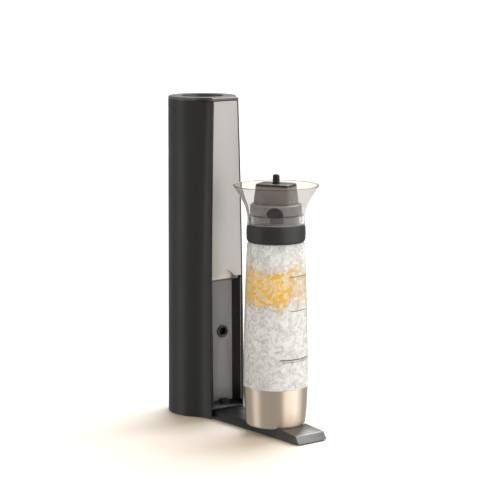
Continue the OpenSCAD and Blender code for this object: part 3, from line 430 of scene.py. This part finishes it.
def turned_solid(name, profile):
    """A closed solid of revolution, drawn up from a disc through (radius, height) steps."""
    bpy.ops.object.select_all(action="DESELECT")
    radius, height = profile[0]
    bpy.ops.mesh.primitive_circle_add(vertices=turned_sides, radius=radius, fill_type="NGON",
                                      location=(0, axis_y, height))
    piece = bpy.context.object
    piece.name = name
    bpy.ops.object.mode_set(mode="EDIT")
    for step_radius, step_height in profile[1:]:
        bpy.ops.mesh.extrude_region_move(
            TRANSFORM_OT_translate={"value": (0, 0, step_height - height)})
        bpy.ops.transform.resize(value=(step_radius / radius, step_radius / radius, 1),
                                 center_override=(0, axis_y, step_height))
        radius, height = step_radius, step_height
    bpy.ops.mesh.select_all(action="SELECT")
    bpy.ops.mesh.normals_make_consistent(inside=False)
    bpy.ops.object.mode_set(mode="OBJECT")
    bpy.ops.object.transform_apply(location=True, rotation=True, scale=True)
    bpy.ops.object.shade_smooth_by_angle(angle=math.radians(35))
    return piece


drink_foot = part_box("inlet_nut")[1].z + 0.006
drink_top = band_low + 0.006
steps = 14
heights = [drink_foot + (drink_top - drink_foot) * i / steps for i in range(steps + 1)]
# Above the cup the skin lies 1.8 mm inside the vessel's wall, so that no air shows between them.
skin_gap, cup_gap, core_gap = -0.0018, 0.0004, 0.0075
above_rim, below_band, core_drop = 0.002, 0.001, 0.002
foot_inset, foot_drop = 0.003, 0.0001


def drink_profile(gap):
    """Steps up the drink's side, which keeps inside the steel cup below and the neck above."""
    sides = []
    for z in heights:
        radius = inside_radius(z) - (gap if z > cup_rim + above_rim else max(gap, cup_gap))
        sides.append((min(radius, neck_radius) if z > band_low - below_band else radius, z))
    low = (sides[0][0] - foot_inset, sides[0][1] - foot_drop)
    return [low] + sides


drink = turned_solid("drink", drink_profile(skin_gap))
core_steps = [(r, z if z < band_low else z - core_drop) for r, z in drink_profile(core_gap)]
core = turned_solid("drink_fizz", core_steps)
for piece in (drink, core):
    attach(piece, "bottle")

fizz = bpy.data.node_groups.new("fizz", "ShaderNodeTree")
socket = fizz.interface.new_socket("Scale", in_out="INPUT", socket_type="NodeSocketFloat")
socket.default_value = 60.0
for name in ("Cloud", "Wisp", "Froth"):
    fizz.interface.new_socket(name, in_out="OUTPUT", socket_type="NodeSocketFloat")
given = add_node(fizz, "NodeGroupInput")
place = object_place(fizz)
cloud = noise(fizz, place, given.outputs["Scale"], 6.0, Distortion=1.5)
wisp = noise(fizz, place, given.outputs["Scale"], 3.0, Distortion=3.2)
curl = calc(fizz, "ABSOLUTE", calc(fizz, "SUBTRACT", wisp, 0.5))
curl = ranged(fizz, curl, 0.004, 0.016, 1, 0)
froth = add_node(fizz, "ShaderNodeTexVoronoi", {"Vector": place, "Scale": 420.0})
froth = froth.outputs["Distance"]
add_node(fizz, "NodeGroupOutput", {"Cloud": cloud, "Wisp": curl, "Froth": froth})

# The zest and juice that the current draws out of the slices: a broken, swirling
# ring of orange and yellow, given as masks of how yellow and how orange.
ring_height, ring_sway, ring_full, ring_end = 0.192, 0.055, 0.015, 0.029
bunch_azimuth = 212
zest = bpy.data.node_groups.new("orange_swirl", "ShaderNodeTree")
for name in ("Yellow", "Orange"):
    zest.interface.new_socket(name, in_out="OUTPUT", socket_type="NodeSocketFloat")
place = object_place(zest)
split = add_node(zest, "ShaderNodeSeparateXYZ", {"Vector": place})
sway = calc(zest, "SUBTRACT", noise(zest, place, 42.0, 3.0, Distortion=1.5), 0.5)
off = calc(zest, "SUBTRACT", split.outputs["Z"], ring_height)
off = calc(zest, "ABSOLUTE", calc(zest, "MULTIPLY_ADD", sway, ring_sway, off))
ring = ranged(zest, off, ring_full, ring_end, 1, 0, smooth=True)
back = calc(zest, "SUBTRACT", split.outputs["Y"], axis_y)
heading = calc(zest, "ARCTAN2", back, split.outputs["X"])
around = calc(zest, "COSINE", calc(zest, "SUBTRACT", heading, math.radians(bunch_azimuth)))
ring = calc(zest, "MULTIPLY", ring, ranged(zest, around, 0.35, 0.85, 0.45, 1, smooth=True))
shreds = noise(zest, place, 58.0, 6.0, Roughness=0.6, Distortion=2.6)
torn = calc(zest, "MULTIPLY", ranged(zest, shreds, 0.47, 0.56, smooth=True), ring)
soft = calc(zest, "MULTIPLY", ranged(zest, shreds, 0.26, 0.47, smooth=True), ring)
add_node(zest, "NodeGroupOutput", {"Yellow": soft, "Orange": torn})


def fizz_finish(name, pale, dark, scale, low_alpha, high_alpha):
    """Bubbly water: clouds of two tones, thin dark curls and specks, and the swirl of orange."""
    made, tree, shader = new_material(name, pale, 0.2, 0, 0.4)
    foam = add_node(tree, "ShaderNodeGroup", node_tree=fizz)
    foam.inputs["Scale"].default_value = scale
    cloud, froth = foam.outputs["Cloud"], foam.outputs["Froth"]
    tone = blended(tree, ranged(tree, cloud, 0.30, 0.62), dark, pale)
    fruit = add_node(tree, "ShaderNodeGroup", node_tree=zest)
    tone = blended(tree, fruit.outputs["Yellow"], tone, (0.93, 0.76, 0.42))
    tone = blended(tree, fruit.outputs["Orange"], tone, (0.91, 0.52, 0.03))
    curl = calc(tree, "MULTIPLY", foam.outputs["Wisp"], ranged(tree, cloud, 0.56, 0.44, 0, 0.8))
    curl = calc(tree, "MAXIMUM", curl, ranged(tree, froth, 0.12, 0.06, 0, 0.4))
    tree.links.new(blended(tree, curl, tone, (0.16, 0.155, 0.15)), shader.inputs["Base Color"])
    swell = relief(tree, cloud, 0.0004, 0.5)
    tree.links.new(relief(tree, froth, 0.0002, 0.4, Normal=swell), shader.inputs["Normal"])
    if high_alpha < 1:
        facing = add_node(tree, "ShaderNodeLayerWeight", {"Blend": 0.5}).outputs["Facing"]
        alpha = ranged(tree, cloud, 0.35, 0.65, low_alpha, high_alpha)
        alpha = calc(tree, "MAXIMUM", alpha, ranged(tree, facing, 0.25, 0.65))
        alpha = calc(tree, "MAXIMUM", alpha, fruit.outputs["Yellow"])
        tree.links.new(alpha, shader.inputs["Alpha"])
    return made


drink_surface = fizz_finish("drink_surface", (0.95, 0.95, 0.935), (0.86, 0.855, 0.84), 105,
                            0.65, 0.92)
paint(drink, drink_surface)
drink_core = fizz_finish("drink_core", (0.94, 0.94, 0.925), (0.88, 0.875, 0.86), 150, 1, 1)
paint(core, drink_core)

# Slices of orange, bent to the vessel's wall as the current presses them there.
slice_orange, tree, shader = new_material("slice_orange", (0.9, 0.55, 0.12), 0.35)
mapped = add_node(tree, "ShaderNodeUVMap", uv_map="slice").outputs[0]
centred = add_node(tree, "ShaderNodeVectorMath", {0: mapped, 1: (0.5, 0.5, 0)},
                   operation="SUBTRACT")
stir = add_node(tree, "ShaderNodeTexNoise", {"Vector": mapped, "Scale": 3.2, "Detail": 2.0,
                                             "Distortion": 1.2})
stir = add_node(tree, "ShaderNodeVectorMath", {0: stir.outputs["Color"], 1: (0.5, 0.5, 0.5)},
                operation="SUBTRACT")
centred = add_node(tree, "ShaderNodeVectorMath",
                   {0: stir.outputs[0], 1: (0.34, 0.34, 0), 2: centred.outputs[0]},
                   operation="MULTIPLY_ADD")
reach = add_node(tree, "ShaderNodeVectorMath", {0: centred.outputs[0]}, operation="LENGTH")
reach = reach.outputs["Value"]
parts = add_node(tree, "ShaderNodeSeparateXYZ", {"Vector": centred.outputs[0]})
turn = calc(tree, "ARCTAN2", parts.outputs["Y"], parts.outputs["X"])
fan = calc(tree, "ABSOLUTE", calc(tree, "SINE", calc(tree, "MULTIPLY", turn, 4.5)))
wall = ranged(tree, fan, 0.05, 0.3, 0.85, 0)
wall = calc(tree, "MULTIPLY", wall, ranged(tree, reach, 0.40, 0.42, 1, 0))
RINGS = (
    # share of the slice's width from its middle, colour
    (0.0, (0.90, 0.74, 0.40, 1)),
    (0.06, (0.93, 0.58, 0.10, 1)),
    (0.36, (0.90, 0.46, 0.03, 1)),
    (0.405, (0.90, 0.52, 0.06, 1)),
    (0.42, (0.93, 0.80, 0.55, 1)),
    (0.45, (0.93, 0.78, 0.50, 1)),
    (0.465, (0.92, 0.46, 0.03, 1)),
    (0.5, (0.90, 0.40, 0.03, 1)),
)
ramp = add_node(tree, "ShaderNodeValToRGB", {"Fac": reach})
first, last = ramp.color_ramp.elements
first.position, first.color = RINGS[0]
last.position, last.color = RINGS[-1]
for position, color in RINGS[1:-1]:
    ramp.color_ramp.elements.new(position).color = color
flesh = blended(tree, wall, ramp.outputs["Color"], (0.93, 0.80, 0.55))
tree.links.new(flesh, shader.inputs["Base Color"])
juice = noise(tree, mapped, 26.0, 3.0)
tree.links.new(relief(tree, juice, 0.0008, 0.6), shader.inputs["Normal"])

slice_radius, slice_thick = 0.0255, 0.0022
inset_count, inset_width = 5, 0.0046
near, far = 0.0012, 0.0044
SLICES = (
    # azimuth, height, depth under the skin, turn
    (193, 0.198, near, 8),
    (236, 0.192, far, -20),
    (275, 0.2, near, 30),
    (325, 0.196, far, 5),
    (12, 0.2, near, 50),
    (62, 0.193, far, -35),
    (105, 0.201, near, 15),
    (150, 0.19, far, 60),
)
for i, (azimuth, height, depth, turn) in enumerate(SLICES):
    bpy.ops.object.select_all(action="DESELECT")
    bpy.ops.mesh.primitive_circle_add(vertices=48, radius=slice_radius, fill_type="NGON")
    orange = bpy.context.object
    orange.name = f"orange_slice_{i + 1}"
    bpy.ops.object.mode_set(mode="EDIT")
    for _ in range(inset_count):
        bpy.ops.mesh.inset(thickness=inset_width)
    bpy.ops.mesh.poke()
    bpy.ops.mesh.select_all(action="SELECT")
    bpy.ops.mesh.extrude_region_move(TRANSFORM_OT_translate={"value": (0, 0, -slice_thick)})
    bpy.ops.mesh.select_all(action="SELECT")
    bpy.ops.mesh.normals_make_consistent(inside=False)
    bpy.ops.object.mode_set(mode="OBJECT")
    layer = orange.data.uv_layers.get("slice") or orange.data.uv_layers.new(name="slice")
    for loop in orange.data.loops:
        p = orange.data.vertices[loop.vertex_index].co
        layer.data[loop.index].uv = (0.5 + p.x / (2 * slice_radius), 0.5 + p.y / (2 * slice_radius))
    for name in [m.name for m in orange.data.uv_layers if m.name != "slice"]:
        orange.data.uv_layers.remove(orange.data.uv_layers[name])
    for vertex in orange.data.vertices:
        p = Matrix.Rotation(math.radians(turn), 3, "Z") @ vertex.co
        radius = inside_radius(height + p.y) - skin_gap - depth + p.z
        angle = math.radians(azimuth) + p.x / (inside_radius(height) - depth)
        vertex.co = (radius * math.cos(angle), axis_y + radius * math.sin(angle), height + p.y)
    bpy.ops.object.shade_smooth_by_angle(angle=math.radians(40))
    paint(orange, slice_orange)
    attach(orange, "bottle")

# Gas bubbles, 0.6 to 3.4 mm across, that cling to the skin of the drink, each
# painted darker at its rim as painted shade.
bubble_clear, tree, shader = new_material("bubble_clear", (0.95, 0.95, 0.94), 0.08)
# Each bubble is painted darker towards its edge: painted shade for its dark rim.
painted_rim_shade = add_node(tree, "ShaderNodeLayerWeight", {"Blend": 0.4}).outputs["Facing"]
tone = blended(tree, painted_rim_shade, (0.95, 0.95, 0.94), (0.25, 0.245, 0.24))
tree.links.new(tone, shader.inputs["Base Color"])
random.seed(11)
bpy.ops.object.select_all(action="DESELECT")
beads = []
bead_count, large_every, bead_margin = 420, 9, 0.004
small, large = (0.0003, 0.0011), (0.0011, 0.0017)
for i in range(bead_count):
    height = random.uniform(cup_rim + bead_margin, band_low - bead_margin)
    azimuth = random.uniform(0, 2 * math.pi)
    size = random.uniform(*(small if i % large_every else large))
    reach_out = inside_radius(height) - skin_gap - random.uniform(-0.2, 0.7) * size
    bpy.ops.mesh.primitive_ico_sphere_add(
        subdivisions=1, radius=size,
        location=(reach_out * math.cos(azimuth), axis_y + reach_out * math.sin(azimuth), height))
    beads.append(bpy.context.object)
for bead in beads:
    bead.select_set(True)
bpy.context.view_layer.objects.active = beads[0]
bpy.ops.object.join()
bubbles = bpy.context.object
bubbles.name = "bubbles"
bpy.ops.object.transform_apply(location=True, rotation=True, scale=True)
bpy.ops.object.shade_smooth()
paint(bubbles, bubble_clear)
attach(bubbles, "bottle")

# Fill marks, screen printed on the vessel: plain lines with no lettering.
ink_black = moulded_finish("ink_black", (0.03, 0.03, 0.03), 0.5, 900, 0.000005)
MARKS = (
    # height, first and last azimuth, thickness
    (0.2055, -102, -52, 0.0007),
    (0.1625, -102, -54, 0.0007),
    (0.101, -121, -52, 0.0011),
    (0.098, -118, -60, 0.0005),
    (0.140, -62, -52, 0.0005),
    (0.184, -62, -52, 0.0005),
    (0.120, -62, -52, 0.0005),
)
SCALE_LINE = (-52, 0.096, 0.214, 0.0005)  # azimuth, foot, top, thickness
ink_lift, ink_thick, mark_step = 0.00006, 0.00005, 2.5
bpy.ops.object.select_all(action="DESELECT")
pieces = []
for height, start, end, thick in MARKS:
    count = max(4, int((end - start) / mark_step))
    bpy.ops.mesh.primitive_grid_add(x_subdivisions=count, y_subdivisions=1, size=1)
    strip = bpy.context.object
    for vertex in strip.data.vertices:
        angle = math.radians(start + (end - start) * (vertex.co.x + 0.5))
        z = height + thick * vertex.co.y
        radius = inside_radius(z) + vessel_wall + ink_lift
        vertex.co = (radius * math.cos(angle), axis_y + radius * math.sin(angle), z)
    pieces.append(strip)
angle, low, high, thick = SCALE_LINE
bpy.ops.mesh.primitive_grid_add(x_subdivisions=1, y_subdivisions=24, size=1)
strip = bpy.context.object
for vertex in strip.data.vertices:
    z = low + (high - low) * (vertex.co.y + 0.5)
    radius = inside_radius(z) + vessel_wall + ink_lift
    bearing = math.radians(angle) + thick * vertex.co.x / radius
    vertex.co = (radius * math.cos(bearing), axis_y + radius * math.sin(bearing), z)
pieces.append(strip)
for strip in pieces:
    strip.select_set(True)
bpy.context.view_layer.objects.active = pieces[0]
bpy.ops.object.join()
marks = bpy.context.object
marks.name = "fill_marks"
solid = marks.modifiers.new("ink", "SOLIDIFY")
solid.thickness = ink_thick
solid.offset = 1
bpy.ops.object.modifier_apply(modifier=solid.name)
paint(marks, ink_black)
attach(marks, "bottle")

# ---------------------------------------------------------------- inner works
# Springs, lever, valves, hoses, gas cylinder and frame, which show only with
# the part open: each has the finish of its own metal, rubber or plastic.
steel_plain = moulded_finish("steel_plain", (0.62, 0.62, 0.63), 0.26, 2600, 0.00001, metallic=1.0)
brass_turned = moulded_finish("brass_turned", (0.72, 0.52, 0.24), 0.28, 2600, 0.00001, metallic=1.0)
cylinder_satin = moulded_finish("cylinder_satin", (0.6, 0.61, 0.63), 0.38, 2000, 0.00001,
                                metallic=1.0)
inner_grey = moulded_finish("inner_grey", (0.16, 0.165, 0.17), 0.5, 1500, 0.00003)
rubber_black = moulded_finish("rubber_black", (0.02, 0.02, 0.02), 0.7, 1500, 0.00004, specular=0.3)
inlet_white = moulded_finish("inlet_white", (0.74, 0.74, 0.71), 0.4, 1500, 0.00002)
seal_clear = moulded_finish("seal_clear", (0.6, 0.6, 0.58), 0.45, 1200, 0.00002)
by_slot = {
    "steel": steel_plain,
    "brass": brass_turned,
    "cylinder_alu": cylinder_satin,
    "inner_plastic": inner_grey,
    "hose_black": rubber_black,
    "seal_rubber": rubber_black,
    "rubber_black": rubber_black,
    "inlet_white": inlet_white,
    "seal_silicone": seal_clear,
}
for node, piece in frame["nodes"].items():
    if not piece.hide_render and node_slot[node] in by_slot:
        paint(piece, by_slot[node_slot[node]])

# ---------------------------------------------------------------- size
# The box of what shows.
low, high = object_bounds()
